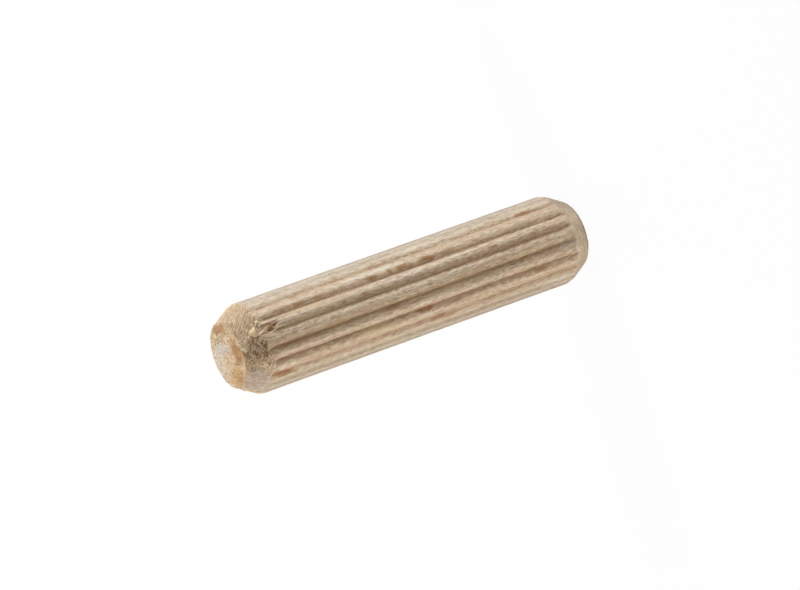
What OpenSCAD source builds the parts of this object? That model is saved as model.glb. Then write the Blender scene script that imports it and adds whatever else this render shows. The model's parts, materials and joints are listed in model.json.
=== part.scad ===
// Fluted dowel pin: a straight beech pin, fluted along its whole length and chamfered at both sawn ends.
// It stands on one end. The origin is the centre of that end and +Z runs along the pin.

/* [Pin] */
// Nominal diameter over the ridges, which is the drill for the hole that the pin is glued into
pin_d = 8; // [5:0.5:16]
// Overall length between the two sawn ends
pin_l = 35; // [20:1:80]

/* [Flutes] */
// Number of straight flutes round the pin, with one ridge between each two
flute_count = 20; // [14:1:24]
// Depth of a flute below the nominal diameter
flute_depth = 0.28; // [0.14:0.02:0.36]
// Width of a flute at the nominal diameter, which leaves the rest of the pitch to the crown of the ridge
flute_w = 0.6; // [0.4:0.02:0.64]
// Width of the bottom of a flute
flute_bottom_w = 0.1; // [0.06:0.02:0.2]

/* [Ends] */
// Angle of the chamfer from the pin's axis
chamfer_angle = 30; // [20:1:45]
// Width of the chamfer measured across the radius
chamfer_r = 1.1; // [0.6:0.1:1.6]

/* [Hidden] */
$fn = 96;
pin_r = pin_d / 2;
core_r = pin_r - flute_depth;
face_r = pin_r - chamfer_r;
pitch_angle = 360 / flute_count;
overshoot = 1; // how far a cutting shape runs past what it cuts

// The point at radius r that lies w / 2 short of the flute's middle, seen from the ridge on the X axis.
function flute_edge(r, w) = let (a = pitch_angle / 2 - w / 2 / r * 180 / PI) r * [cos(a), sin(a)];

// A ridge is rounded by one circle on its own centre line, through the edges of its crown and of the flute's bottom.
crown_edge = flute_edge(pin_r, flute_w);
bottom_edge = flute_edge(core_r, flute_bottom_w);
ridge_centre = (pin_r ^ 2 - core_r ^ 2) / (2 * (crown_edge[0] - bottom_edge[0]));
ridge_r = norm(crown_edge - [ridge_centre, 0]);

// The rounded ridges, standing on the core that closes the bottoms of the flutes.
module ridges() {
    circle(r = core_r);
    for (i = [0 : flute_count - 1])
        rotate(i * pitch_angle)
            translate([ridge_centre, 0])
                circle(r = ridge_r);
}

// The rod as it leaves the fluting die: every ridge is cut back to a crown at the nominal diameter.
module fluted_rod() {
    linear_extrude(height = pin_l)
        intersection() {
            circle(d = pin_d);
            ridges();
        }
}

// The shape that both ends are milled to: a sawn face, then a cone that opens out past the ridges.
module end_envelope() {
    wide_r = pin_r + overshoot;
    cone_l = (wide_r - face_r) / tan(chamfer_angle);
    rotate_extrude()
        polygon([
            [0, 0], [face_r, 0], [wide_r, cone_l],
            [wide_r, pin_l - cone_l], [face_r, pin_l], [0, pin_l]
        ]);
}

module dowel_pin() {
    color("burlywood")
        intersection() {
            fluted_rod();
            end_envelope();
        }
}

dowel_pin();
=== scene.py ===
# A fluted beech dowel pin, 8 x 35 mm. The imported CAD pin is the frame: this script gives it its cut flutes,
# its torn fibres and its wood. Sizes are in millimetres and angles in degrees until they reach Blender.
import json
import math
import random
from types import SimpleNamespace

import bpy
import numpy as np
from mathutils import Matrix, Vector, noise


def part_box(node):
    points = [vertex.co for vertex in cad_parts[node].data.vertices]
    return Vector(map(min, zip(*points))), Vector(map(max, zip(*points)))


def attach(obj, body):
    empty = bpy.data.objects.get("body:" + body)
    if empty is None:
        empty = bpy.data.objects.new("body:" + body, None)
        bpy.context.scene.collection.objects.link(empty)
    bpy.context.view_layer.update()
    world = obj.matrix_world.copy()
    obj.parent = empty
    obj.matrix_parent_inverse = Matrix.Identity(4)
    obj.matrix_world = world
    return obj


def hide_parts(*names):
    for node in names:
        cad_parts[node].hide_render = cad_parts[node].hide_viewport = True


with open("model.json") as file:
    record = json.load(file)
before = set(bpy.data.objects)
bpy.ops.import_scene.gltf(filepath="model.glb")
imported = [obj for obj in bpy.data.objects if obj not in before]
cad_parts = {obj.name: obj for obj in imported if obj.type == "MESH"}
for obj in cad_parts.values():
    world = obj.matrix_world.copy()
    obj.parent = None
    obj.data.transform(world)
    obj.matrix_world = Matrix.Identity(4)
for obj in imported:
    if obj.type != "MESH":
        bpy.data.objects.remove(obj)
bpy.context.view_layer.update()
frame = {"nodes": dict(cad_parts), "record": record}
mm = 0.001

# what the CAD pin gives
low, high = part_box("dowel_pin")
shank = next(m for m in frame["record"]["mounts"] if m["name"] == "shank")["dims"]
cadPoints = [v.co / mm for v in frame["nodes"]["dowel_pin"].data.vertices]
pinLength = (high.z - low.z) / mm
crownRadius = shank["r_mm"]
chamferRun = (pinLength - shank["length_mm"]) / 2
faceDepth = 0.01  # points of the CAD pin within this of its top are on the sawn face
faceRadius = max(math.hypot(p.x, p.y) for p in cadPoints if p.z > pinLength - faceDepth)
chamferSlope = (crownRadius - faceRadius) / chamferRun
shoulder = pinLength - chamferRun  # height at which the upper chamfer starts
chamferMiddle = (crownRadius + faceRadius) / 2
print(f"frame: pin {pinLength:.2f} long, crowns {2 * crownRadius:.2f}, faces {2 * faceRadius:.2f}, "
      f"chamfers {chamferRun:.2f}")


def sums(operation):
    # the two methods of one operator: with the wire in front of it, and with a number in front of it
    def forward(wire, other):
        return wire.finish.maths(operation, wire, other)

    def reflected(wire, other):
        return wire.finish.maths(operation, other, wire)

    return forward, reflected


class Wire:
    # a node's output that sums are written with; the other side is a number or another wire
    def __init__(self, finish, socket):
        self.finish = finish
        self.socket = socket

    __add__, __radd__ = sums("ADD")
    __sub__, __rsub__ = sums("SUBTRACT")
    __mul__, __rmul__ = sums("MULTIPLY")
    __truediv__, __rtruediv__ = sums("DIVIDE")
    __pow__, __rpow__ = sums("POWER")
    __mod__, __rmod__ = sums("FLOORED_MODULO")

    def __abs__(self):
        return self.finish.maths("ABSOLUTE", self)


class Finish:
    # the nodes of one material, or of the world
    def __init__(self, owner):
        self.owner = owner
        owner.use_nodes = True
        self.tree = owner.node_tree
        self.tree.nodes.clear()

    def node(self, kind, settings=None, inputs=None, output=0):
        made = self.tree.nodes.new(kind)
        for name, value in (settings or {}).items():
            if name == "stops":
                self.setStops(made.color_ramp, value)
            else:
                setattr(made, name, value)
        for name, value in (inputs or {}).items():
            socket = made.inputs[name] if isinstance(name, int) else self.named(made.inputs, name)
            if isinstance(value, Wire):
                self.tree.links.new(value.socket, socket)
            else:
                socket.default_value = value
        if not made.outputs:
            return made
        socket = made.outputs[output] if isinstance(output, int) else self.named(made.outputs, output)
        return Wire(self, socket)

    def named(self, sockets, name):
        return next(s for s in sockets if s.name == name and s.enabled)

    def setStops(self, ramp, stops):
        while len(ramp.elements) < len(stops):
            ramp.elements.new(1.0)
        for element, (place, colour) in zip(ramp.elements, stops):
            element.position = place
            element.color = colour

    def maths(self, operation, *values):
        return self.node("ShaderNodeMath", {"operation": operation}, dict(enumerate(values)))

    def vectorMaths(self, operation, *values, output=0):
        return self.node("ShaderNodeVectorMath", {"operation": operation}, dict(enumerate(values)), output)

    def scaled(self, vector, scale):
        return self.vectorMaths("MULTIPLY", vector, scale)

    def moved(self, vector, by):
        return self.vectorMaths("ADD", vector, by)

    def split(self, vector):
        apart = self.node("ShaderNodeSeparateXYZ", None, {0: vector}).socket.node
        return [Wire(self, socket) for socket in apart.outputs]

    def joined(self, x, y, z=0.0):
        return self.node("ShaderNodeCombineXYZ", None, {"X": x, "Y": y, "Z": z})

    def place(self):
        # where a point lies on its piece
        return self.scaled(self.node("ShaderNodeTexCoord", output="Object"), (1 / mm, 1 / mm, 1 / mm))

    def angleAt(self, x, y):
        # the angle round the pin, from the -Y side towards +X
        return self.maths("ARCTAN2", x, 0 - y) * (180 / math.pi)

    def smooth(self, value, start, end):
        # 0 where value is at start, 1 where it is at end
        return self.node("ShaderNodeMapRange", {"interpolation_type": "SMOOTHSTEP", "clamp": True},
                         {"Value": value, "From Min": start, "From Max": end})

    def atLeast(self, least, mask):
        # the mask squeezed into what lies between least and 1
        return least + mask * (1 - least)

    def cloud(self, vector, scale, detail=2, distortion=0.0, output="Fac"):
        return self.node("ShaderNodeTexNoise", None, {
            "Vector": self.scaled(vector, scale), "Scale": 1, "Detail": detail,
            "Distortion": distortion}, output)

    def layer(self, vector, scale, detail, start, end):
        # a noise that goes from 0 to 1 between two of its values
        return self.smooth(self.cloud(vector, scale, detail), start, end)

    def drift(self, vector, place, scale, reach, detail=2):
        # the vector pushed about by the noise at a place, up to about a quarter of reach either way
        push = self.moved(self.cloud(place, scale, detail, output="Color"), (-0.5, -0.5, -0.5))
        return self.moved(vector, self.scaled(push, reach))

    def strokes(self, vector, scale, turns, distortion, thin=0.16, full=0.36):
        # fine curved lines: the contours of a stretched noise
        wave = abs(self.cloud(vector, scale, distortion=distortion) * turns % 1 - 0.5)
        return self.smooth(wave, thin, full)

    def spot(self, vector, centre, half, outer=1.25, inner=0.6):
        # 1 inside an ellipse, fading between outer and inner times its half sizes
        away = self.scaled(self.moved(vector, (-centre[0], -centre[1], 0)), (1 / half[0], 1 / half[1], 0))
        return self.smooth(self.vectorMaths("LENGTH", away, output="Value"), outer, inner)

    def blend(self, factor, first, second, mode="MIX"):
        return self.node("ShaderNodeMix", {"data_type": "RGBA", "blend_type": mode},
                         {"Factor": factor, "A": first, "B": second}, "Result")

    def laid(self, colour, mask, tint, mode="MIX"):
        # a tint, which is a colour and its share, over another colour
        return self.blend(mask * tint[1], colour, tint[0], mode)

    def seenWhite(self):
        # 1 for what the camera sees, directly, in a gloss or through glass
        seen, glossy, through = (self.node("ShaderNodeLightPath", output=f"Is {kind} Ray")
                                 for kind in ("Camera", "Glossy", "Transmission"))
        return self.maths("MAXIMUM", self.maths("MAXIMUM", seen, glossy), through)

    def surface(self, **values):
        inputs = {name.replace("_", " "): value for name, value in values.items()}
        self.node("ShaderNodeOutputMaterial", None, {
            "Surface": self.node("ShaderNodeBsdfPrincipled", None, inputs)})


def addPiece(name, vertices, faces):
    mesh = bpy.data.meshes.new(name)
    mesh.from_pydata([tuple(v) for v in vertices], [], faces)
    mesh.validate()
    mesh.shade_smooth()
    mesh.update()
    piece = bpy.data.objects.new(name, mesh)
    bpy.context.scene.collection.objects.link(piece)
    return piece


def onPin(angle, radius, down):
    # a point on the pin: angle round it, radius and distance below the upper face
    turn = math.radians(angle)
    return Vector((radius * math.sin(turn), -radius * math.cos(turn), pinLength - down))


# The cut form of the pin. Angles go round it from the -Y side towards +X. "Along" is the distance from the
# upper shoulder down the pin. A start is where a noise is read from, so that no two patterns are alike.
pinForm = {
    "flutes": 20,
    "firstFlute": 9.0,  # angle of the middle of flute 0
    "depth": 0.28,
    "curve": 1.8,  # how a ridge falls off from its crown to its flutes: 2 is an even round
    "valley": 0.045,  # share of half a pitch over which the bottom of a flute is rounded
    "upperDepth": 0.5,  # share of the depth that is left at the upper shoulder
    "lowerDepth": 0.7,
    "endRun": (-0.15, 1.0),  # distances inwards from a shoulder between which the depth comes back
    # degrees by which a flute wanders off its line, and share by which its depth does; both go with the run
    # of a noise along the pin, its step from flute to flute and its start
    "wander": 0.25, "wanderNoise": (9, 3.7, 0),
    "swell": 0.12, "swellNoise": (5, 5.3, 4),
    # degrees that a flute lies off its place, and that it gains from the top end to the bottom end
    "shift": {3: 2.0, 2: 2.8, 1: 1.0, 0: 0.4, -1: -0.4, -2: 0.4, -3: 0.8, -4: 1.4},
    "turn": {-1: 2.0},
    # shares of the depth
    "shallow": {4: 0.28, 3: 0.15, 2: 0.56, -2: 0.84, -3: 0.56, -4: 0.42, -5: 0.56},
    # what the other flutes may be off by, drawn with this seed
    "seed": 8, "otherShift": 1.1, "otherTurn": 0.5, "otherDepth": (0.88, 1.04),
    "columns": 20,  # mesh columns per flute
    "crowding": 0.06,  # how far they are moved towards the flutes, in shares of the pitch
    "rings": 9, "edgeRows": 5,  # mesh rows on a sawn face and round its edge
    # the other rows, as where they start, where they stop and the step or the number of them
    "upperRows": (0.1, 0.45, 0.05),  # from below the face to past the shoulder
    "tornRows": (0.45, 2.2, 0.06),  # below the shoulder
    "shankRows": (0.15, 0.5, 98),  # from below those to above the lower shoulder
    "lowerRows": (0.4, 0.03, 0.09),  # from above the lower shoulder to the edge of the face
    "upperRound": 0.1,  # rounding between a sawn face and its chamfer
    "lowerRound": 0.45,
    "upperShoulder": 0.09,  # how far the shoulder edges are worn round
    "lowerShoulder": 0.2,
    "shoulderChange": 3,  # stretch over which the one wear goes over into the other
    # long low strands: scale round and along the pin, heights of the coarse and the fine ones
    "strandScale": (3.4, 0.22), "strandHeights": (0.01, 0.006), "strandFiner": 2.7, "strandStart": 5,
    # torn grain on the chamfers: its height; the scale of its noise round the pin, along it in two slants
    # and across it; a finer noise; how deep it lies in the cut; how near the cut and the rim it fades out
    "upperFuzz": 0.032, "lowerFuzz": 0.018,
    "fuzzRound": 2.4, "fuzzSlant": (-0.7, 3.9), "fuzzSide": 2,
    "fuzzFine": 0.6, "fuzzFiner": 2.1, "fuzzStart": 9, "fuzzSunk": 0.3,
    "fuzzFade": 0.05, "fuzzRim": 0.12,
    # saw marks on the faces: height, scales of the long and the fine ones, share of the fine, plain rim
    "sawMarks": 0.016, "sawScale": (0.8, 5.0, 1), "sawFineScale": (6, 6, 1), "sawFine": 0.6, "sawRim": 0.15,
    # The ridge that has lost its end.
    "tear": {
        "from": 9.8, "to": 23.0,  # angles of its two sides
        "low": 1.3, "high": 1.85, "rise": 0.7,  # how far along the gap goes at each side, and between them
        "fromSide": (-0.06, 0.04), "toSide": (1.03, 0.93),  # shares of the width over which a side falls
        "step": (0.03, -0.05), "mouth": (-0.4, -0.1),  # how the gap stops, and starts on the chamfer
        "jag": 0.2, "jagWidth": 1.7, "jagStart": 2,  # teeth of the step
        "drop": 0.2, "further": 0.04,  # depth of the floor at the shoulder, and its fall along the pin
        # roughness of the floor: height and scale of its fibres, and of the splits across them
        "fibres": 0.04, "fibreScale": (0.9, 1.4),
        "splits": 0.035, "splitScale": (0.6, 2.0, 4.0), "splitStart": 7,
        # pits at the foot: angle, along, both half sizes and drop
        "pits": [(13.2, 0.85, 0.15, 0.36, 0.1), (17.5, 1.35, 0.12, 0.26, 0.07)],
        "pitRagged": 0.3, "pitFade": (1.2, 0.5),
    },
}


def ripple(points, scale=(1, 1, 1)):
    # smooth noise from -1 to 1 at an array of points
    flat = np.asarray(points, float).reshape(-1, 3) * scale
    return np.array([noise.noise(Vector(p)) for p in flat]).reshape(np.shape(points)[:-1])


def smoothStep(value, start, end):
    t = np.clip((value - start) / (end - start), 0, 1)
    return t * t * (3 - 2 * t)


def smoothMin(a, b, width):
    h = np.clip(0.5 + 0.5 * (b - a) / width, 0, 1)
    return b * (1 - h) + a * h - width * h * (1 - h)


def makeFlutes():
    # angle, turn and depth of every flute, counted from flute 0 upwards
    form = pinForm
    rng = random.Random(form["seed"])
    flutes = []
    for k in range(form["flutes"]):
        near = k if k < form["flutes"] / 2 else k - form["flutes"]
        shift = form["shift"].get(near, rng.uniform(-1, 1) * form["otherShift"])
        turn = form["turn"].get(near, rng.uniform(-form["otherTurn"], form["otherTurn"]))
        depth = form["depth"] * form["shallow"].get(near, rng.uniform(*form["otherDepth"]))
        flutes.append((form["firstFlute"] + k * 360 / form["flutes"] + shift, turn, depth))
    return flutes


def rippleAlong(z, flute, run, step, start):
    # smooth noise down one flute, unlike that of the others
    return ripple(np.stack([z / run, np.full_like(z, flute * step), np.full_like(z, start)], -1))


def fluteGrid(flutes, z):
    # For every height z: the angle of each column and the depth there. The columns run from flute to flute.
    form = pinForm
    share = np.arange(form["columns"]) / form["columns"]
    t = share - form["crowding"] * np.sin(2 * math.pi * share) ** 3
    down = (pinLength - z) / pinLength - 0.5
    upper = form["upperDepth"] + (1 - form["upperDepth"]) * smoothStep(shoulder - z, *form["endRun"])
    lower = form["lowerDepth"] + (1 - form["lowerDepth"]) * smoothStep(z - chamferRun, *form["endRun"])
    middles, deepest = [], []
    for k, (base, turn, depth) in enumerate(flutes):
        middles.append(base + turn * down + form["wander"] * rippleAlong(z, k, *form["wanderNoise"]))
        swell = 1 + form["swell"] * rippleAlong(z, k, *form["swellNoise"])
        deepest.append(depth * upper * lower * swell)
    middles.append(middles[0] + 360)
    deepest.append(deepest[0])
    gap = 1 - np.abs(2 * t - 1)
    valley = form["valley"]
    fall = (1 - (np.sqrt(gap ** 2 + valley ** 2) - valley)) ** form["curve"]
    angles, depths = [], []
    for k in range(len(flutes)):
        angles.append(middles[k][:, None] + (middles[k + 1] - middles[k])[:, None] * t)
        depths.append((deepest[k][:, None] * (1 - t) + deepest[k + 1][:, None] * t) * fall)
    return np.radians(np.concatenate(angles, 1)), np.concatenate(depths, 1)


def endRows(rounding):
    # radius and distance from the end, from the middle of a sawn face out and round its edge to the chamfer
    rings, steps = pinForm["rings"], pinForm["edgeRows"]
    bend = math.pi / 2 - math.atan(chamferSlope)  # from the face's direction to the chamfer's
    rim = faceRadius - rounding * math.tan(bend / 2)
    turns = [bend * i / steps for i in range(1, steps + 1)]
    rows = [(rim * i / rings, 0.0) for i in range(1, rings + 1)]
    return rows + [(rim + rounding * math.sin(a), rounding * (1 - math.cos(a))) for a in turns]


def outline():
    # Rows of the mesh from the upper face to the lower: the radius that the ends allow, and the height.
    form = pinForm
    upperEnd, lowerEnd = endRows(form["upperRound"]), endRows(form["lowerRound"])
    rows = [(radius, pinLength - down) for radius, down in upperEnd]
    start, past, step = form["upperRows"]
    downs = np.arange(start, chamferRun + past, step)
    rows += [(faceRadius + down * chamferSlope, pinLength - down) for down in downs]
    start, stop, step = form["tornRows"]
    heights = list(np.arange(shoulder - start, shoulder - stop, -step))
    gap, stop, count = form["shankRows"]
    heights += list(np.linspace(heights[-1] - gap, chamferRun + stop, count))
    rows += [(faceRadius + min(pinLength - z, z) * chamferSlope, z) for z in heights]
    start, clear, step = form["lowerRows"]
    heights = np.arange(chamferRun + start, lowerEnd[-1][1] + clear, -step)
    rows += [(faceRadius + z * chamferSlope, z) for z in heights]
    return np.array(rows + lowerEnd[::-1])


def tearRidge(radius, degrees, along):
    # the broken end of one ridge: a rough floor that stops at a jagged step, with pits at its foot
    form = pinForm["tear"]
    level = along * 0
    across = (degrees - form["from"]) / (form["to"] - form["from"])
    jag = ripple(np.stack([degrees / form["jagWidth"], level, level + form["jagStart"]], -1))
    length = form["low"] + (form["high"] - form["low"]) * np.clip(across, 0, 1) ** form["rise"]
    length = length + form["jag"] * jag
    beyond, before = form["step"]
    inside = smoothStep(across, *form["fromSide"]) * smoothStep(across, *form["toSide"])
    inside *= smoothStep(along, length + beyond, length + before) * smoothStep(along, *form["mouth"])
    wide, long = form["fibreScale"]
    fibres = ripple(np.stack([degrees * wide, along * long, level], -1))
    wide, slant, long = form["splitScale"]
    leaning = degrees * wide + along * slant
    splits = ripple(np.stack([leaning, along * long, level + form["splitStart"]], -1))
    floor = crownRadius - form["drop"] - form["further"] * along
    floor = floor + form["fibres"] * fibres + form["splits"] * splits
    for pitAngle, pitAlong, halfAcross, halfAlong, drop in form["pits"]:
        aside = np.radians(degrees - pitAngle) * crownRadius / halfAcross
        away = np.hypot(aside, (along - pitAlong) / halfAlong)
        floor = floor - drop * smoothStep(away + form["pitRagged"] * fibres, *form["pitFade"])
    return radius - inside * np.maximum(radius - floor, 0)


def strandRelief(ring, height):
    # how far the long strands of the grain stand up
    form = pinForm
    scaleRound, scaleAlong = form["strandScale"]
    coarse, fine = form["strandHeights"]
    strands = np.concatenate([ring * scaleRound, height[..., None] * scaleAlong], -1)
    return coarse * ripple(strands) + fine * ripple(strands * form["strandFiner"] + form["strandStart"])


def tornGrain(radius, limit, angle, ring, height):
    # how far fibres bent over round the pin stand up, on the chamfers only
    form = pinForm
    cut = smoothStep(limit - radius, form["fuzzFade"], 0)
    cut *= smoothStep(limit, faceRadius - form["fuzzRim"], faceRadius)
    first, second = (angle * form["fuzzRound"] + height * slant for slant in form["fuzzSlant"])
    tangled = np.stack([first, second, ring[..., 0] * form["fuzzSide"]], -1)
    fuzz = ripple(tangled) + form["fuzzFine"] * ripple(tangled * form["fuzzFiner"] + form["fuzzStart"])
    fuzzHeight = np.where(height > pinLength / 2, form["upperFuzz"], form["lowerFuzz"])
    return cut * fuzzHeight * (fuzz - form["fuzzSunk"])


def sawMarks(points, limit):
    # shallow marks on both sawn faces: how far a point lies inside the end
    form = pinForm
    onFace = smoothStep(limit, faceRadius, faceRadius - form["sawRim"])
    marks = ripple(points, form["sawScale"]) + form["sawFine"] * ripple(points, form["sawFineScale"])
    return form["sawMarks"] * onFace * (1 + marks)


def makePin():
    form = pinForm
    rows = outline()
    z = rows[:, 1]
    angle, depth = fluteGrid(makeFlutes(), z)
    limit = np.broadcast_to(rows[:, :1], angle.shape)
    height = np.broadcast_to(z[:, None], angle.shape).copy()
    ring = np.stack([np.sin(angle), -np.cos(angle)], -1)
    turned = (angle + math.pi) % (2 * math.pi) - math.pi

    radius = crownRadius - depth + strandRelief(ring, height)
    radius = tearRidge(radius, np.degrees(turned), shoulder - height)
    nearTop = smoothStep(height, shoulder - form["shoulderChange"], shoulder)
    worn = form["lowerShoulder"] + (form["upperShoulder"] - form["lowerShoulder"]) * nearTop
    radius = smoothMin(radius, limit, worn)
    radius = radius + tornGrain(radius, limit, turned, ring, height)
    points = np.concatenate([ring * radius[..., None], height[..., None]], -1)
    sink = sawMarks(points, limit)
    points[..., 2] += np.where(height > pinLength / 2, -sink, sink)

    rowCount, columnCount = angle.shape
    middles = np.array([[0, 0, pinLength - form["sawMarks"]], [0, 0, form["sawMarks"]]])
    vertices = np.concatenate([points.reshape(-1, 3), middles]) * mm
    grid = np.arange(rowCount * columnCount).reshape(rowCount, columnCount)
    right = np.roll(grid, -1, 1)
    quads = np.stack([grid[:-1], grid[1:], right[1:], right[:-1]], -1).reshape(-1, 4)
    upperFan = [(rowCount * columnCount, a, b) for a, b in zip(grid[0], right[0])]
    lowerFan = [(rowCount * columnCount + 1, b, a) for a, b in zip(grid[-1], right[-1])]
    return addPiece("dowel_pin_wood", vertices, quads.tolist() + upperFan + lowerFan)


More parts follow.
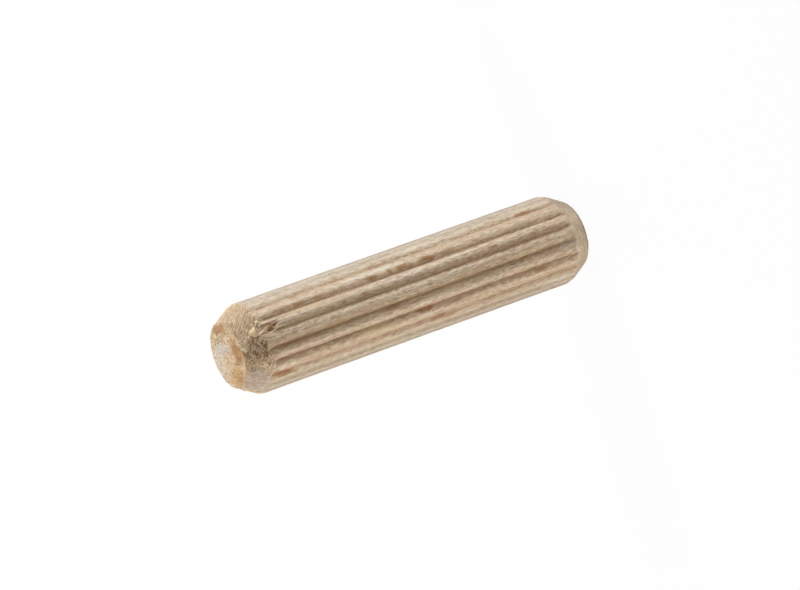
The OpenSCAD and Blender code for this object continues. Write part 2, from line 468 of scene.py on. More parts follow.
# The wood. The growth rings run across the pin along X, so the -Y side shows the flat grain and the X sides
# show its edge. In this dictionary:
# - a layer is the scale of a noise along X, Y and Z, its detail, and the two values that turn into 0 and 1;
# - a drift is the scale of a noise and how far it pushes a place about;
# - lines are the scale of a noise, how many contours it is cut into and its distortion;
# - a fade is the two values between which a mask goes from 0 to 1;
# - a share is how much of a colour comes through, and a tint is a colour with its share.
beechLook = {
    "dark": (0.3, 0.195, 0.105, 1), "middle": (0.505, 0.372, 0.24, 1), "pale": (0.67, 0.53, 0.37, 1),
    "tones": (0.1, 0.5, 0.9),  # where those three colours lie on the scale of tones
    "streak": ((4, 9, 0.28), 3, 0.3, 0.7), "mottle": ((7, 8, 1.7), 2, 0.36, 0.64),
    "dashes": ((9, 9, 3.6), 2, 0.36, 0.64), "fine": ((24, 24, 3.5), 2, 0.3, 0.7),
    "toneShares": {"streak": 0.3, "mottle": 0.38, "dashes": 0.2, "fine": 0.11},
    "bend": ((0.25, 0.25, 0.05), (1.6, 1.6, 0)),  # drift of the whole grain
    "ringWidth": 2.3, "ringBow": 0.02,
    # latewood, which thickens through a ring
    "late": ((0.42, 0.27, 0.15, 1), 0.3), "lateFade": (0.4, 0.93), "lateEnd": (0.95, 1),
    # soft blotches that tint the wood: scale of their noise, mode, share, and two tints with their fades
    "blotches": [
        ((1.6, 1.6, 0.16), "MIX", 0.5,
         [((0.54, 0.36, 0.25, 1), (0.52, 0.66)), ((0.55, 0.42, 0.235, 1), (0.46, 0.34))]),
        ((1.4, 1.4, 0.8), "MULTIPLY", 0.35,
         [((1.0, 0.86, 0.86, 1), (0.52, 0.62)), ((0.95, 0.99, 0.82, 1), (0.48, 0.38))]),
    ],
    "pore": ((0.2, 0.12, 0.06, 1), 0.55), "pores": ((26, 26, 2.0), 0, 0.68, 0.78),
    # rays cut across: scale of their cells, size in a cell and share
    "ray": (0.33, 0.18, 0.085, 1), "rays": [((3.2, 0.4, 0.9), 0.3, 0.45), ((1.8, 0.2, 0.4), 0.25, 0.4)],
    "rayChosen": (0.2, 0.8),  # fade from the cells without a ray to those with one
    # The edge grain at the two sides, with weathered streaks; both sides are also darkened as painted shade,
    # and their outer edges get a cool tint as a painted sheen. Fades go by the distance from the middle, and
    # at the foot by the height.
    "side": (2.6, 3.8), "sideShade": (0.81, 0.805, 0.8, 1),
    "edge": (3.3, 3.95), "edgeFoot": (2, 6), "edgeSheenTint": (0.96, 1.0, 1.09, 1),
    "grey": (0.345, 0.275, 0.188, 1), "greyLeast": 0.2, "greyShare": 0.25,
    "greyLines": ((2.4, 2.4, 0.12), 6, 0.2),
    # the pale tops of the ridges, partly rubbed wood and partly painted highlight, then the darker bottoms of
    # the flutes, partly brown wood and partly painted shade: colour, mode, depths under the crowns where it
    # starts and where it is whole, and its least share, to which the mottle adds
    "levels": [((0.67, 0.555, 0.4, 1), "MIX", 0.07, 0.01, 0.15),
               ((0.8, 0.73, 0.68, 1), "MULTIPLY", 0.12, 0.27, 0.65)],
    "mottleShare": 0.35,
    # the cut ends: a ragged noise and its reach, the depths under the cone and under the face over which
    # the cut gives way to the shank, and the distances inside the rim of the face
    "ragged": ((5, 5, 3), 3), "raggedReach": 0.2,
    "coneFade": (0.15, 0.03), "faceFade": (0.09, 0.05), "rimFade": (0.02, 0.1),
    # marks along the pin: angle, start and end below the upper shoulder, width, strength. The mottle cuts
    # into them, down to a least share. First the flecks of the rays, with a painted shade line at 47.4
    # degrees, then pale streaks, partly rubbed wood and partly painted highlights along the lit sides of
    # ridges.
    "inkDrift": ((3.0, 3.0, 1.4), (9, 1.3, 0), 4),
    "flecksAndShade": {"colour": (0.29, 0.125, 0.04, 1), "fade": (1.45, 0.5), "least": 0.6, "marks": [
        (34, 1.5, 3.5, 0.5, 0.3), (33.5, 3.6, 5.0, 0.42, 0.75), (33, 5.5, 6.8, 0.36, 0.6),
        (33.5, 11.0, 12.3, 0.46, 0.95),
        (33, 13.1, 13.8, 0.4, 0.8), (34, 14.2, 15.1, 0.46, 0.9), (32, 15.0, 15.9, 0.3, 0.6),
        (33.5, 16.7, 18.1, 0.46, 1.0), (32.5, 18.4, 20.3, 0.28, 0.4),
        (50.5, 27.0, 29.0, 0.34, 0.9), (49, 8.2, 9.4, 0.24, 0.45), (50, 11.7, 13.3, 0.22, 0.45),
        (-29.2, 14.6, 16.3, 0.48, 0.95), (-31.5, 17.8, 19.2, 0.34, 0.6), (-31, 26.4, 27.9, 0.42, 0.65),
        (-31, 1.6, 3.6, 0.4, 0.4),
        (-45, -0.4, 1.4, 0.46, 1.0), (-48.5, 0.2, 2.3, 0.5, 1.0), (-50.5, 1.2, 2.6, 0.34, 0.7),
        (-47, 14.3, 15.4, 0.36, 0.45), (-47, 15.9, 17.4, 0.46, 0.8), (-50, 16.6, 18.6, 0.34, 0.6),
        (17, 7.7, 8.4, 0.26, 0.45), (16, 10.0, 10.6, 0.26, 0.5), (18, 18.4, 19.1, 0.24, 0.5),
        (17.5, 23.0, 23.8, 0.3, 0.7), (9.5, 16.9, 18.9, 0.2, 0.45), (13, 22.3, 25.0, 0.24, 0.3),
        (-12, 11.3, 13.2, 0.34, 0.65), (1, 6.4, 7.4, 0.2, 0.35), (-2, 21.3, 22.0, 0.16, 0.35),
        (66, 20, 21.6, 0.16, 0.4), (62, 9.0, 11.4, 0.12, 0.3),
        (-11.5, 0.2, 6.5, 0.34, 0.4), (-29.5, 0.2, 3.0, 0.34, 0.3),
        # the last mark on this line, at 47.4 degrees, is painted shade along a flute near the upper shoulder
        (-6.8, 0.2, 14, 0.26, 0.35), (-6.8, 14, 31, 0.22, 0.25), (47.4, -0.1, 3.0, 0.12, 0.7),
        (-28, 23.4, 26.6, 0.5, 0.28), (-39, 14.8, 17.5, 0.5, 0.22), (-37, 2.6, 5.6, 0.8, 0.2),
        (-4, 7.5, 11.0, 0.5, 0.18), (-4, 18.8, 21.8, 0.5, 0.2), (24, 1.4, 4.4, 0.4, 0.2),
    ]},
    "streaksAndHighlights": {"colour": (0.78, 0.72, 0.62, 1), "fade": (1.5, 0.2), "least": 0.4, "marks": [
        (41, 8.4, 15.6, 0.6, 0.45), (22, 12.5, 18.0, 0.4, 0.25), (-37, 14.0, 17.5, 0.34, 0.4),
        (-1, 29.0, 31.0, 0.6, 0.15), (-10, 29.6, 31.2, 0.6, 0.2), (-38, 0.0, 2.6, 0.4, 0.4),
        (58, 15.0, 19.0, 0.5, 0.3), (-60, 28.0, 31.2, 0.8, 0.45), (-13, 29.4, 31.4, 0.6, 0.45),
        # painted highlights along the lit sides of three ridges, over nearly the whole length
        (5.2, 0.3, 31, 0.2, 0.4), (23.6, 4.0, 31, 0.22, 0.35), (-21.2, 3.0, 31, 0.2, 0.25),
    ]},
    # Stains are angle, distance below the upper face, both half sizes, colour and strength. These lie on
    # the upper chamfer; the one at 70 degrees is painted shade on its +X side.
    "stainFade": (1.25, 0.5),
    "chamferDrift": ((2.0, 2.0, 2.0), (22, 0.9, 0), 4),
    "chamferStainsAndShade": [
        (-62, 0.9, 32, 1.4, (0.46, 0.395, 0.325, 1), 0.85),
        # painted shade on the +X side of the upper chamfer
        (70, 0.9, 16, 1.4, (0.47, 0.345, 0.215, 1), 0.75),
        (-6, 1.1, 20, 1.0, (0.28, 0.175, 0.1, 1), 0.86),
        (-8, 1.65, 15, 0.3, (0.16, 0.1, 0.055, 1), 0.45),
        (-6, 1.45, 13, 0.12, (0.31, 0.15, 0.07, 1), 0.6),
        (-34, 0.45, 7, 0.3, (0.26, 0.16, 0.12, 1), 0.8),
        (8, 0.26, 9, 0.32, (0.92, 0.8, 0.6, 1), 0.9),
        (58, 1.15, 8, 0.3, (0.66, 0.42, 0.2, 1), 0.4),
        (28, 1.8, 9, 0.14, (0.2, 0.13, 0.07, 1), 0.5), (-28, 1.6, 7, 0.5, (0.8, 0.66, 0.5, 1), 0.8),
        (28, 1.2, 9, 0.5, (0.66, 0.52, 0.36, 1), 0.6), (-8, 1.75, 9, 0.13, (0.24, 0.12, 0.06, 1), 0.6),
        (17, 1.0, 7, 0.5, (0.8, 0.66, 0.46, 1), 0.7),
    ],
    # those round the ridge that has lost its end; the third and fourth are painted shade in the two pits at
    # its foot
    "tornDrift": ((3.5, 3.5, 2.5), (8, 0.6, 0), 4),
    "tornStainsAndShade": [
        (15.5, 2.5, 7, 0.95, (0.52, 0.375, 0.23, 1), 0.7),
        (17.5, 3.1, 4.5, 0.5, (0.46, 0.24, 0.08, 1), 0.85),
        # these two are painted shade in the pits at the foot of the torn floor
        (13.2, 2.75, 2.6, 0.36, (0.18, 0.105, 0.05, 1), 0.75),
        (17.5, 3.4, 1.4, 0.2, (0.19, 0.115, 0.06, 1), 0.7),
        (23.2, 2.6, 1.0, 0.9, (0.78, 0.64, 0.45, 1), 0.7),
    ],
    # The torn fibres of the chamfers: aslant beyond one angle of the upper end, in a tangle elsewhere. They
    # show best between the two rough sides. The ends are read apart, so that they are not alike.
    # the lower cut is paler than the upper: partly its own colour and partly painted light where the floor
    # shades the lower end
    "upperCut": (0.6, 0.435, 0.26, 1), "lowerCutWithPaintedLight": (0.8, 0.67, 0.5, 1), "lowerCutLeast": 0.8,
    "slant": (14, 24), "slantTurn": 0.7, "endsApart": 5,
    "slantLines": ((0.9, 4.2, 1), 5, 0.5), "tangle": ((1.9, 1.9, 2.8), 4, 0.9),
    "roughSides": [(62, 50), (-40, -26)], "roughLeast": 0.25, "upperLeast": 0.35,
    "strand": ((0.82, 0.66, 0.44, 1), 0.55), "speck": ((18, 18, 18), 1, 0.35, 0.65),
    # painted shade in the gaps between the torn fibres
    "gap": ((0.56, 0.44, 0.31, 1), 0.7),
    "patches": ((2.5, 2.5, 3.5), 3, 0.35, 0.65), "patchShare": 0.35,
    "smear": ((0.8, 0.7, 0.68, 1), 0.5), "smearSide": (-26, -40),
    "smears": ((0.7, 2.6, 1), 4, 0.3),
    # painted shade on the sides of the lower chamfer, more on the +X side, and round the rim of the lower
    # face, where it stands on the floor
    "lowerSideShade": ((0.31, 0.245, 0.172, 1), 0.9),
    "rightSide": (1.4, 3.0), "leftSide": (-1.6, -3.0), "leftShare": 0.7,
    # painted shade round the rim of the lower face
    "rim": ((0.56, 0.44, 0.31, 1), 0.85), "rimShadeHeight": (0.4, 0.1), "rimShadeWidth": (0.25, 0.05),
    # Sawn faces: the rays are fine lines along Y and the vessels are dots. More is what the upper face has
    # on top of the least.
    "upperFace": (0.86, 0.7, 0.48, 1), "lowerFace": (0.6, 0.47, 0.31, 1),
    "heart": ((0.74, 0.49, 0.25, 1), 0.6), "heartLayer": ((1.5, 1.1, 0), 3, 0.4, 0.62),
    "faceDrift": ((1.3, 1.3, 0), (1.1, 1.1, 0)), "faceFineDrift": ((6, 6, 0), (0.3, 0.3, 0)),
    "vessel": (0.5, 0.36, 0.23, 1),
    "rayLines": ((5.0, 0.9, 0), 3, 0.56, 0.68), "rayLineShare": 0.5,
    "dots": ((14, 14, 0), 1, 0.55, 0.7), "dotLeast": 0.2, "dotMore": 0.15,
    "grit": (0.58, 0.43, 0.28, 1), "gritLayer": ((7, 2.6, 0), 3, 0.38, 0.6),
    "gritLeast": 0.3, "gritMore": 0.3, "gritPale": 0.1,
    # stains on the upper face: x, y, both half sizes, colour, strength
    "faceStains": [
        (-0.4, 1.9, 1.7, 1.0, (0.88, 0.79, 0.64, 1), 0.75),
        (0.0, -1.9, 1.35, 1.1, (0.52, 0.265, 0.085, 1), 0.92),
        (-2.0, -0.5, 0.95, 1.4, (0.62, 0.36, 0.13, 1), 0.85),
        (2.4, 0.15, 0.45, 1.25, (0.56, 0.3, 0.11, 1), 0.9),
        (1.6, 0.4, 0.25, 1.2, (0.6, 0.42, 0.24, 1), 0.7),
        (0.72, 0.8, 0.62, 1.7, (0.79, 0.73, 0.66, 1), 0.92),
        (1.3, 1.05, 0.06, 1.3, (0.34, 0.2, 0.1, 1), 0.9),
        (1.75, 1.4, 0.05, 0.9, (0.4, 0.24, 0.12, 1), 0.8),
        (0.35, 0.4, 0.05, 1.0, (0.42, 0.27, 0.14, 1), 0.7),
        (-0.25, 0.9, 0.05, 1.1, (0.5, 0.33, 0.19, 1), 0.6),
        (0.2, -1.7, 0.5, 0.5, (0.46, 0.23, 0.075, 1), 0.6),
        (-0.9, -0.9, 0.2, 0.7, (0.44, 0.24, 0.09, 1), 0.7),
        (2.1, 0.1, 0.14, 0.18, (0.36, 0.13, 0.06, 1), 0.8),
        (2.05, 0.7, 0.13, 0.2, (0.36, 0.13, 0.06, 1), 0.8),
        (1.9, -0.8, 0.16, 0.16, (0.25, 0.19, 0.11, 1), 0.7),
        (1.2, -1.6, 0.06, 0.8, (0.38, 0.21, 0.09, 1), 0.65),
        (0.2, -1.8, 0.06, 0.9, (0.38, 0.21, 0.09, 1), 0.65),
        (-0.7, -1.7, 0.07, 0.9, (0.38, 0.21, 0.09, 1), 0.65),
        (2.1, -1.7, 0.35, 0.35, (0.78, 0.58, 0.37, 1), 0.85),
        (1.6, -2.1, 0.45, 0.35, (0.76, 0.59, 0.39, 1), 0.9),
        (0.75, -2.55, 0.45, 0.3, (0.84, 0.7, 0.48, 1), 0.9),
        (2.0, -1.3, 0.35, 0.07, (0.36, 0.2, 0.08, 1), 0.75),
        (1.25, -1.3, 0.45, 0.06, (0.36, 0.21, 0.09, 1), 0.7),
        (0.1, 2.3, 0.12, 0.12, (0.34, 0.27, 0.15, 1), 0.7),
        (-0.8, 2.3, 0.14, 0.1, (0.34, 0.25, 0.14, 1), 0.7),
        (-1.5, 1.6, 0.12, 0.14, (0.36, 0.25, 0.14, 1), 0.6),
        (0.0, -2.86, 1.7, 0.13, (0.46, 0.27, 0.12, 1), 0.6),
    ],
    "relief": 0.7, "reliefHeight": 0.02,
    "heights": {"fine": 0.4, "dashes": 0.3, "mottle": 0.6, "pores": 0.8, "fibres": 2.0, "rayLines": 0.5},
    # the shank is smoother than the cut ends
    "roughness": 0.84, "shankSmoother": 0.32, "fineRougher": 0.08,
    "sheen": 0.06, "sheenRoughness": 0.5,
    "gloss": 0.2,
}


def placesOn(wood):
    # the places that the layers of the wood are read at, and the masks of its cut ends
    look = beechLook
    place = wood.place()
    x, y, z = wood.split(place)
    at = SimpleNamespace(place=place, x=x, z=z, down=pinLength - z)
    at.radius = (x * x + y * y) ** 0.5
    at.angle = wood.angleAt(x, y)
    at.around = wood.joined(at.angle, at.down)
    at.upper = wood.smooth(z, pinLength / 2, pinLength / 2 + 1)  # 1 on the upper half, 0 on the lower
    fromEnd = wood.maths("MINIMUM", z, at.down)
    offCone = fromEnd * chamferSlope + faceRadius - at.radius
    ragged = wood.cloud(place, *look["ragged"]) - 0.5
    outer, inner = look["rimFade"]
    at.chamfer = wood.smooth(offCone + ragged * look["raggedReach"], *look["coneFade"])
    at.face = (wood.smooth(fromEnd, *look["faceFade"])
               * wood.smooth(at.radius, faceRadius - outer, faceRadius - inner))
    at.shank = (1 - at.chamfer) * (1 - at.face)
    at.bent = wood.drift(place, place, *look["bend"])
    return at


def rayCells(wood, vector, scale, size):
    # a mask of small stretched spots, one in some of the cells
    cells = {"Vector": wood.scaled(vector, scale), "Scale": 1}
    distance = wood.node("ShaderNodeTexVoronoi", None, cells, "Distance")
    tint = wood.node("ShaderNodeTexVoronoi", None, cells, "Color")
    chosen = wood.node("ShaderNodeSeparateColor", None, {0: tint})
    return wood.smooth(distance, size, size / 2) * wood.smooth(chosen, *beechLook["rayChosen"])


def spotted(wood, colour, vector, stains, mask=1.0):
    # the colour with the spots of one table on it: stains, and in the tables of the torn ridge and the
    # chamfer also painted shade
    for u, v, halfU, halfV, tint, strength in stains:
        mark = wood.spot(vector, (u, v), (halfU, halfV), *beechLook["stainFade"]) * strength
        colour = wood.blend(mark * mask, colour, tint)
    return colour


def drawn(wood, vector, kind):
    # a mask of marks that lie along the pin
    together = 0
    for middle, start, end, width, strength in kind["marks"]:
        half = (math.degrees(width / 2 / crownRadius), (end - start) / 2)
        centre = (middle, chamferRun + (start + end) / 2)
        mark = wood.spot(vector, centre, half, *kind["fade"]) * strength
        together = wood.maths("MAXIMUM", together, mark)
    return together


def shankColour(wood, at, grain):
    # growth rings, tone and hue
    look = beechLook
    bentX, bentY = wood.split(at.bent)[:2]
    ring = (bentY + bentX * bentX * look["ringBow"]) / look["ringWidth"] % 1
    late = wood.smooth(ring, *look["lateFade"]) - wood.smooth(ring, *look["lateEnd"])
    shares = look["toneShares"]
    tone = (wood.layer(at.bent, *look["streak"]) * shares["streak"] + grain.mottle * shares["mottle"]
            + grain.dashes * shares["dashes"] + grain.fine * shares["fine"])
    tones = [look["dark"], look["middle"], look["pale"]]
    colour = wood.node("ShaderNodeValToRGB", {"stops": list(zip(look["tones"], tones))}, {"Fac": tone})
    colour = wood.laid(colour, late, look["late"])
    for scale, mode, share, tints in look["blotches"]:
        blotch = wood.cloud(at.bent, scale)
        for tint, fade in tints:
            colour = wood.blend(wood.smooth(blotch, *fade) * share, colour, tint, mode)
    colour = wood.laid(colour, grain.pores, look["pore"])
    for scale, size, share in look["rays"]:
        colour = wood.blend(rayCells(wood, at.bent, scale, size) * share, colour, look["ray"])

    # edge grain at the sides with painted shade on both and a painted sheen on their edges; pale ridge tops,
    # partly rubbed wood and partly painted highlight; darker flute bottoms, partly brown wood and partly
    # painted shade
    side = wood.smooth(abs(at.x), *look["side"])
    grey = wood.strokes(at.bent, *look["greyLines"]) * look["greyShare"] + look["greyLeast"]
    # the grey of the edge grain, then a darkening of both sides that is painted shade
    colour = wood.blend(side * grey, colour, look["grey"])
    colour = wood.blend(side, colour, look["sideShade"], "MULTIPLY")
    # painted sheen: a cool tint on the outer edges of both sides
    edge = wood.smooth(abs(at.x), *look["edge"]) * wood.smooth(at.z, *look["edgeFoot"])
    colour = wood.blend(edge, colour, look["edgeSheenTint"], "MULTIPLY")
    more = grain.mottle * look["mottleShare"]
    # pale ridge tops, partly rubbed wood and partly painted highlight; darker flute bottoms, partly brown
    # wood and partly painted shade
    for tint, mode, start, whole, least in look["levels"]:
        level = wood.smooth(at.radius, crownRadius - start, crownRadius - whole)
        colour = wood.blend(level * (least + more), colour, tint, mode)

    # marks along the pin, among them painted highlights and a painted shade line, and the torn end of a ridge
    # with painted shade in its pits
    inked = wood.drift(at.around, at.place, *look["inkDrift"])
    for kind in (look["streaksAndHighlights"], look["flecksAndShade"]):
        mask = drawn(wood, inked, kind) * wood.atLeast(kind["least"], grain.mottle)
        colour = wood.blend(mask, colour, kind["colour"])
    torn = wood.drift(at.around, at.place, *look["tornDrift"])
    return spotted(wood, colour, torn, look["tornStainsAndShade"])


def chamferColour(wood, at):
    # torn fibres bent round the pin: their colour and their height
    look = beechLook
    arc = at.angle * math.radians(chamferMiddle)
    slanted = wood.joined((arc + at.down) * look["slantTurn"], (at.down - arc) * look["slantTurn"],
                          at.upper * look["endsApart"])
    slant = wood.smooth(at.angle, *look["slant"]) * at.upper
    strands = (slant * wood.strokes(slanted, *look["slantLines"])
               + (1 - slant) * wood.strokes(at.place, *look["tangle"]))
    right, left = (wood.smooth(at.angle, *fade) for fade in look["roughSides"])
    lines = wood.atLeast(look["roughLeast"], right * left) * wood.atLeast(look["upperLeast"], at.upper)
    # the paler lower cut is partly its own colour and partly painted light for the floor's shade
    colour = wood.blend(at.upper, look["lowerCutWithPaintedLight"], look["upperCut"])
    pushed = wood.drift(at.around, at.place, *look["chamferDrift"])
    colour = spotted(wood, colour, pushed, look["chamferStainsAndShade"])
    # painted shade in the gaps between the strands
    colour = wood.laid(colour, (1 - strands) * lines, look["gap"], "MULTIPLY")
    speck = wood.layer(at.place, *look["speck"])
    colour = wood.laid(colour, strands * lines * speck, look["strand"])
    patches = wood.layer(at.place, *look["patches"])
    colour = wood.blend((1 - patches) * look["patchShare"], colour, look["vessel"], "MULTIPLY")
    smears = wood.strokes(slanted, *look["smears"]) * wood.smooth(at.angle, *look["smearSide"]) * at.upper
    colour = wood.laid(colour, smears, look["smear"], "MULTIPLY")
    # painted shade on both sides of the lower chamfer, more on the +X side
    shadedSides = wood.maths("MAXIMUM", wood.smooth(at.x, *look["rightSide"]),
                          wood.smooth(at.x, *look["leftSide"]) * look["leftShare"])
    colour = wood.laid(colour, shadedSides * (1 - at.upper), look["lowerSideShade"])
    return colour, at.chamfer * strands * lines


def faceColour(wood, at):
    # end grain: its colour and its height
    look = beechLook
    colour = wood.blend(at.upper, look["lowerFace"], look["upperFace"])
    heart = wood.layer(at.place, *look["heartLayer"])
    colour = wood.laid(colour, heart, look["heart"])
    spread = wood.drift(at.place, at.place, *look["faceDrift"])
    spread = wood.drift(spread, at.place, *look["faceFineDrift"])
    colour = spotted(wood, colour, spread, look["faceStains"], at.upper)
    rayLines = wood.layer(spread, *look["rayLines"])
    grit = wood.layer(spread, *look["gritLayer"])
    dots = wood.layer(at.place, *look["dots"])
    gritty = (1 - grit) * (look["gritLeast"] + at.upper * look["gritMore"])
    colour = wood.blend(gritty, colour, look["grit"], "MULTIPLY")
    colour = wood.blend(grit * look["gritPale"], colour, look["upperFace"])
    colour = wood.blend(rayLines * look["rayLineShare"], colour, look["vessel"], "MULTIPLY")
    dotted = dots * (look["dotLeast"] + at.upper * look["dotMore"])
    colour = wood.blend(dotted, colour, look["vessel"], "MULTIPLY")
    return colour, at.face * (grit - dots - rayLines * look["heights"]["rayLines"])


def beech():
    look = beechLook
    wood = Finish(bpy.data.materials.new("beech"))
    at = placesOn(wood)
    layers = ("mottle", "dashes", "fine", "pores")
    grain = SimpleNamespace(**{name: wood.layer(at.bent, *look[name]) for name in layers})
    cutColour, fibres = chamferColour(wood, at)
    sawnColour, endGrain = faceColour(wood, at)
    colour = wood.blend(at.chamfer * wood.atLeast(look["lowerCutLeast"], at.upper),
                        shankColour(wood, at, grain), cutColour)
    # painted shade: a darker band round the rim of the lower face, where the pin stands on the floor
    inner, outer = look["rimShadeWidth"]
    rim = (wood.smooth(at.z, *look["rimShadeHeight"])
           * wood.smooth(at.radius, faceRadius - inner, faceRadius - outer))
    colour = wood.laid(colour, rim, look["rim"], "MULTIPLY")
    colour = wood.blend(at.face, colour, sawnColour)

    heights = look["heights"]
    relief = at.shank * (grain.fine * heights["fine"] + grain.dashes * heights["dashes"]
                         + grain.mottle * heights["mottle"] - grain.pores * heights["pores"])
    relief = relief + fibres * heights["fibres"] + endGrain
    bump = wood.node("ShaderNodeBump", None, {
        "Strength": look["relief"], "Distance": look["reliefHeight"] * mm, "Height": relief})
    rough = look["roughness"] - at.shank * look["shankSmoother"] + grain.fine * look["fineRougher"]
    wood.surface(Base_Color=colour, Normal=bump, Roughness=rough, Specular_IOR_Level=look["gloss"],
                 Sheen_Weight=look["sheen"], Sheen_Roughness=look["sheenRoughness"])
    return wood.owner


# The loose fibres of the torn ends.
fibreForm = {
    "seed": 21,
    # how many, and of them the share that lies between two angles; length, thickness
    "upper": {"count": 230, "crowd": 0.72, "crowdFrom": -40, "crowdTo": 54, "length": (0.35, 0.95),
              "thick": (0.04, 0.085)},
    "lower": {"count": 70, "crowd": 0, "crowdFrom": -60, "crowdTo": 60, "length": (0.3, 0.7),
              "thick": (0.03, 0.05)},
    "endClear": 0.12,  # how near a fibre may start to the face and to the shoulder
    "pathClear": 0.1,  # how near it may run to the face, and how far past the shoulder
    # Beyond this angle, up to where the crowd ends, the fibres lie aslant. The others are curled. Way is a
    # direction in radians and its spread, and 0 heads round the pin. Turn is the spread of how far a fibre
    # bends. Length and thick are shares of the length and the thickness.
    "slantFrom": 14,
    "slanted": {"way": (0.8, 0.3), "turn": 1.0, "length": 0.85, "thick": 0.85},
    "curled": {"way": (0, 0.9), "turn": 2.2, "length": 0.6, "thick": 0.75},
    "hump": 1.1, "humpPower": 0.5, "sunk": 0.5,  # how a fibre stands up, in its own thickness
    "clearAngle": 19, "clearHalf": 8, "clearFrom": -0.3, "clearTo": -1.45,  # kept free round the chip
    "sides": 5, "steps": 8, "flat": 0.6, "taper": 0.6,
    "shankSunk": 0.03,  # how far under the crowns a fibre lies below the shoulder
    # colours; a layer is the scale of its noise, its detail, and the two values that turn into 0 and 1
    "pale": (0.76, 0.62, 0.42, 1), "tan": (0.56, 0.41, 0.25, 1),
    "tone": ((1.8, 1.8, 1.8), 2, 0.35, 0.65), "toneShare": 0.6,
    "strand": ((22, 22, 22), 2, 0.3, 0.7), "strandShare": 0.4,
    # the fibres in the dark patch: angle and distance below the face of its middle, half sizes
    "dull": (-7, 1.1), "dullHalf": (19, 1.2), "dullColour": (0.4, 0.3, 0.19, 1), "dullShare": 0.5,
    # a pale chip beside the torn ridge: x and z of its middle, half sizes
    "chip": (1.1, 33.8), "chipHalf": (0.45, 0.45), "chipColour": (0.62, 0.455, 0.25, 1), "chipShare": 0.95,
    "roughness": 0.7, "strandRougher": 0.15, "sheen": 0.2, "relief": 0.5, "reliefHeight": 0.01,
    # splinters: angle and distance below the shoulder of both ends, thickness, how far the middle stands up
    "splinterSunk": 0.02,
    "splinters": [
        ((7.5, 0.05), (11.5, 1.35), 0.09, 0.04), ((10.5, 1.05), (16.5, 1.75), 0.07, 0.1),
        ((23.2, 0.1), (22.8, 2.0), 0.07, 0.03), ((12, 0.2), (17, 0.55), 0.05, -0.08),
        ((-22.5, 0.15), (-35, -0.3), 0.13, 0.17), ((-25, 0.3), (-33, 0.1), 0.11, 0.2),
        ((-34, -0.5), (-28.5, 0.15), 0.06, 0.05), ((13, 1.0), (18, 1.9), 0.06, 0.06),
        ((11.5, -0.5), (14.5, 0.2), 0.2, 0.06), ((28, -0.25), (31, 0.3), 0.06, 0.04),
        ((2, -0.2), (4, 0.5), 0.06, 0.03), ((-18, -0.15), (-21, 0.35), 0.05, 0.03),
        ((44, -0.2), (47, 0.3), 0.05, 0.02), ((9, -0.3), (9.5, 0.35), 0.07, 0.04),
        ((19, 1.0), (21.5, 2.05), 0.08, 0.05), ((15, 0.0), (20, 0.9), 0.06, -0.06),
        ((11, 1.2), (14.5, 2.1), 0.06, 0.05),
    ],
    # flat chips: the corners, thickness and how far they stand up
    "dome": 0.4,  # rise of a chip's middle, in its own thickness
    "chips": [([(24, -0.36), (22, -0.9), (17.5, -1.0), (10.5, -0.58), (12, -0.44)], 0.06, 0.08),
              ([(31, -0.2), (24, 0.15), (30, 0.1)], 0.03, 0.03)],
}


def endPoint(angle, below, lift):
    # a point on the upper end, lifted off it: "below" is the distance under the shoulder, negative above it
    if below < 0:
        radius, slope = crownRadius + below * chamferSlope, math.atan(chamferSlope)
    else:
        radius, slope = crownRadius - fibreForm["shankSunk"], 0
    return onPin(angle, radius + lift * math.cos(slope), chamferRun + below - lift * math.sin(slope))


def addTube(vertices, faces, path, thick):
    # a closed, flattened tube along a path, tapered to both ends
    form = fibreForm
    sides, first = form["sides"], len(vertices)
    for i, point in enumerate(path[1:-1], 1):
        ahead = (path[i + 1] - path[i - 1]).normalized()
        out = Vector((point.x, point.y, 0)).normalized()
        side = ahead.cross(out).normalized()
        out = side.cross(ahead)
        half = thick / 2 * math.sin(math.pi * i / (len(path) - 1)) ** form["taper"]
        for s in range(sides):
            a = 2 * math.pi * s / sides
            vertices.append(point + side * half * math.cos(a) + out * half * form["flat"] * math.sin(a))
    rings = len(path) - 2
    tip, tail = len(vertices), len(vertices) + 1
    vertices.extend([path[0], path[-1]])
    for s in range(sides):
        t = (s + 1) % sides
        for r in range(rings - 1):
            a, b = first + r * sides, first + (r + 1) * sides
            faces.append((a + s, a + t, b + t, b + s))
        faces.append((tip, first + t, first + s))
        faces.append((tail, first + (rings - 1) * sides + s, first + (rings - 1) * sides + t))


def addChip(vertices, faces, corners, thick, rise):
    # a thin plate with a slightly domed top
    first, count = len(vertices), len(corners)
    middle = (sum(c[0] for c in corners) / count, sum(c[1] for c in corners) / count)
    vertices.extend(endPoint(angle, below, rise - thick) for angle, below in corners)
    vertices.extend(endPoint(angle, below, rise) for angle, below in corners)
    vertices.append(endPoint(*middle, rise - thick))
    vertices.append(endPoint(*middle, rise + thick * fibreForm["dome"]))
    under, over = first + 2 * count, first + 2 * count + 1
    for c in range(count):
        d = (c + 1) % count
        faces.append((first + c, first + d, first + count + d, first + count + c))
        faces.append((over, first + count + c, first + count + d))
        faces.append((under, first + d, first + c))


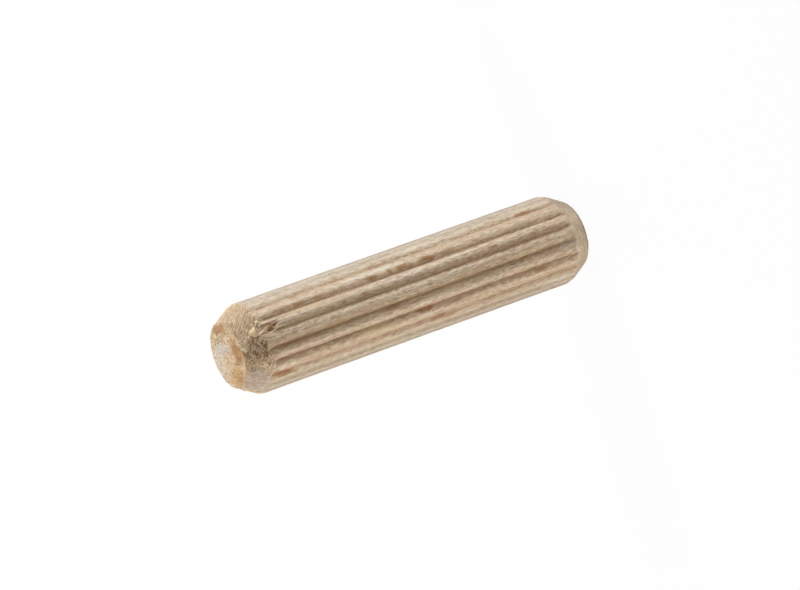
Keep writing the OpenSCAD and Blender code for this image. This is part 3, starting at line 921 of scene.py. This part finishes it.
def fibrePath(rng, group):
    # one fibre on the upper chamfer: its path, its thickness, and whether it starts under the chip
    form = fibreForm
    crowded = rng.random() < group["crowd"]
    reach = (group["crowdFrom"], group["crowdTo"]) if crowded else (-180, 180)
    angle = rng.uniform(*reach)
    below = -rng.uniform(form["endClear"], chamferRun - form["endClear"])
    length, thick = rng.uniform(*group["length"]), rng.uniform(*group["thick"])
    kind = form["slanted"] if form["slantFrom"] < angle < group["crowdTo"] else form["curled"]
    heading = rng.gauss(*kind["way"])
    turn = rng.gauss(0, kind["turn"])
    length *= kind["length"]
    thick *= kind["thick"]
    hidden = (abs(angle - form["clearAngle"]) < form["clearHalf"]
              and form["clearTo"] < below < form["clearFrom"])
    steps, clear = form["steps"], form["pathClear"]
    path = []
    for i in range(steps + 1):
        share = i / steps
        stand = form["hump"] * math.sin(math.pi * share) ** form["humpPower"] - form["sunk"]
        path.append(endPoint(angle, min(below, clear), thick * form["flat"] * stand))
        way = heading + turn * (share - 0.5)
        angle += math.degrees(length / steps * math.cos(way) / (crownRadius + below * chamferSlope))
        below = max(below + length / steps * math.sin(way), -chamferRun + clear)
    return path, thick, hidden


def splinterPath(start, end, rise):
    form = fibreForm
    path = []
    for i in range(form["steps"] + 1):
        share = i / form["steps"]
        angle, below = (a + (b - a) * share for a, b in zip(start, end))
        path.append(endPoint(angle, below, rise * math.sin(math.pi * share) - form["splinterSunk"]))
    return path


def makeFibres():
    form = fibreForm
    rng = random.Random(form["seed"])
    vertices, faces = [], []
    for _ in range(form["upper"]["count"]):
        path, thick, hidden = fibrePath(rng, form["upper"])
        if not hidden:
            addTube(vertices, faces, path, thick)
    # those of the lower end are made on the upper one and mirrored
    for _ in range(form["lower"]["count"]):
        path, thick, _ = fibrePath(rng, form["lower"])
        addTube(vertices, faces, [Vector((p.x, p.y, pinLength - p.z)) for p in path], thick)
    for start, end, thick, rise in form["splinters"]:
        addTube(vertices, faces, splinterPath(start, end, rise), thick)
    for corners, thick, rise in form["chips"]:
        addChip(vertices, faces, corners, thick, rise)
    return addPiece("dowel_pin_fibres", [v * mm for v in vertices], faces)


def looseFibre():
    form = fibreForm
    fibre = Finish(bpy.data.materials.new("beech_fibre"))
    place = fibre.place()
    x, y, z = fibre.split(place)
    strand = fibre.layer(place, *form["strand"])
    tone = fibre.layer(place, *form["tone"]) * form["toneShare"] + strand * form["strandShare"]
    colour = fibre.blend(tone, form["tan"], form["pale"])
    dull = fibre.spot(fibre.joined(fibre.angleAt(x, y), pinLength - z), form["dull"], form["dullHalf"])
    colour = fibre.blend(dull * form["dullShare"], colour, form["dullColour"])
    onChip = fibre.spot(fibre.joined(x, z), form["chip"], form["chipHalf"])
    colour = fibre.blend(onChip * form["chipShare"], colour, form["chipColour"])
    bump = fibre.node("ShaderNodeBump", None, {
        "Strength": form["relief"], "Distance": form["reliefHeight"] * mm, "Height": strand})
    rough = form["roughness"] + strand * form["strandRougher"]
    fibre.surface(Base_Color=colour, Normal=bump, Roughness=rough, Sheen_Weight=form["sheen"])
    return fibre.owner


plainWhite = (1, 1, 1, 1)

# a pale floor and plain light
stageLook = {
    "floor": (0.8, 0.78, 0.75, 1), "floorHalf": 600,
    "floorShown": 0.95,  # share of plain white that the camera sees in the floor
    "airColour": (1.0, 0.9, 0.78, 1),
    "air": 0.285,  # the room's own light
}
# place, size, power and colour of each lamp; they all face the pin's middle
lamps = {
    "sideHigh": {"at": (130, -15, 50), "size": (60, 140), "power": 0.245, "colour": (0.91, 1.0, 1.16)},
    "sideLow": {"at": (-130, -15, 50), "size": (60, 140), "power": 0.185, "colour": (0.96, 1.0, 1.06)},
    "back": {"at": (0, 150, 50), "size": (140, 120), "power": 0.1, "colour": (1, 1, 1)},
    "top": {"at": (0, 60, 180), "size": (140, 140), "power": 0.065, "colour": (1, 1, 1)},
}
view = {
    "elevation": 27.125,
    "roll": 109.631,  # so that the pin lies across the view
    "distance": 464.9,
    "focal": 243.99, "film": 36,
    "aside": (-0.184, -0.105),  # how far the camera is moved along its own right and up
    "near": 10, "far": 5000,
}


def makeStage():
    white = Finish(bpy.data.materials.new("floor"))
    shown = white.seenWhite() * stageLook["floorShown"]
    matt = white.node("ShaderNodeBsdfDiffuse", None, {"Color": stageLook["floor"]})
    plain = white.node("ShaderNodeEmission", None, {"Color": plainWhite, "Strength": 1})
    mixed = white.node("ShaderNodeMixShader", None, {0: shown, 1: matt, 2: plain})
    white.node("ShaderNodeOutputMaterial", None, {"Surface": mixed})
    half = stageLook["floorHalf"] * mm
    corners = [(-half, -half, 0), (half, -half, 0), (half, half, 0), (-half, half, 0)]
    floor = addPiece("floor", corners, [(0, 1, 2, 3)])
    floor.data.materials.append(white.owner)


def makeAir():
    world = bpy.data.worlds.new("room")
    bpy.context.scene.world = world
    air = Finish(world)
    room = air.node("ShaderNodeBackground", None, {
        "Color": stageLook["airColour"], "Strength": stageLook["air"]})
    plain = air.node("ShaderNodeBackground", None, {"Color": plainWhite, "Strength": 1})
    mixed = air.node("ShaderNodeMixShader", None, {0: air.seenWhite(), 1: room, 2: plain})
    air.node("ShaderNodeOutputWorld", None, {"Surface": mixed})


def makeLamps():
    middle = Vector((0, 0, pinLength / 2))
    for name, lamp in lamps.items():
        data = bpy.data.lights.new(name, "AREA")
        data.shape = "RECTANGLE"
        data.size, data.size_y = (s * mm for s in lamp["size"])
        data.energy = lamp["power"]
        data.color = lamp["colour"]
        made = bpy.data.objects.new(name, data)
        made.location = Vector(lamp["at"]) * mm
        made.rotation_mode = "QUATERNION"
        made.rotation_quaternion = (middle - Vector(lamp["at"])).to_track_quat("-Z", "Y")
        bpy.context.scene.collection.objects.link(made)


def makeCamera():
    data = bpy.data.cameras.new("camera")
    data.sensor_width = view["film"]
    data.lens = view["focal"]
    data.clip_start, data.clip_end = view["near"] * mm, view["far"] * mm
    camera = bpy.data.objects.new("camera", data)
    lift = math.radians(view["elevation"])
    back = Vector((0, -math.cos(lift), math.sin(lift)))
    right = Matrix.Rotation(-math.radians(view["roll"]), 3, back) @ Vector((1, 0, 0))
    up = back.cross(right)
    asideRight, asideUp = view["aside"]
    stand = Vector((0, 0, pinLength / 2)) + back * view["distance"] + right * asideRight + up * asideUp
    camera.matrix_world = Matrix.Translation(stand * mm) @ Matrix((right, up, back)).transposed().to_4x4()
    bpy.context.scene.collection.objects.link(camera)
    bpy.context.scene.camera = camera


fibres = makeFibres()
fibres.data.materials.append(looseFibre())
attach(fibres, "root")
print("fibres:", len(fibres.data.vertices), "points")

pin = makePin()
pin.data.materials.append(beech())
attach(pin, "root")
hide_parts("dowel_pin")
print("pin:", len(pin.data.vertices), "points")

makeStage()
makeAir()
makeLamps()
makeCamera()
bpy.context.scene.view_settings.view_transform = "Standard"
print("stage, lamps and camera are in place")
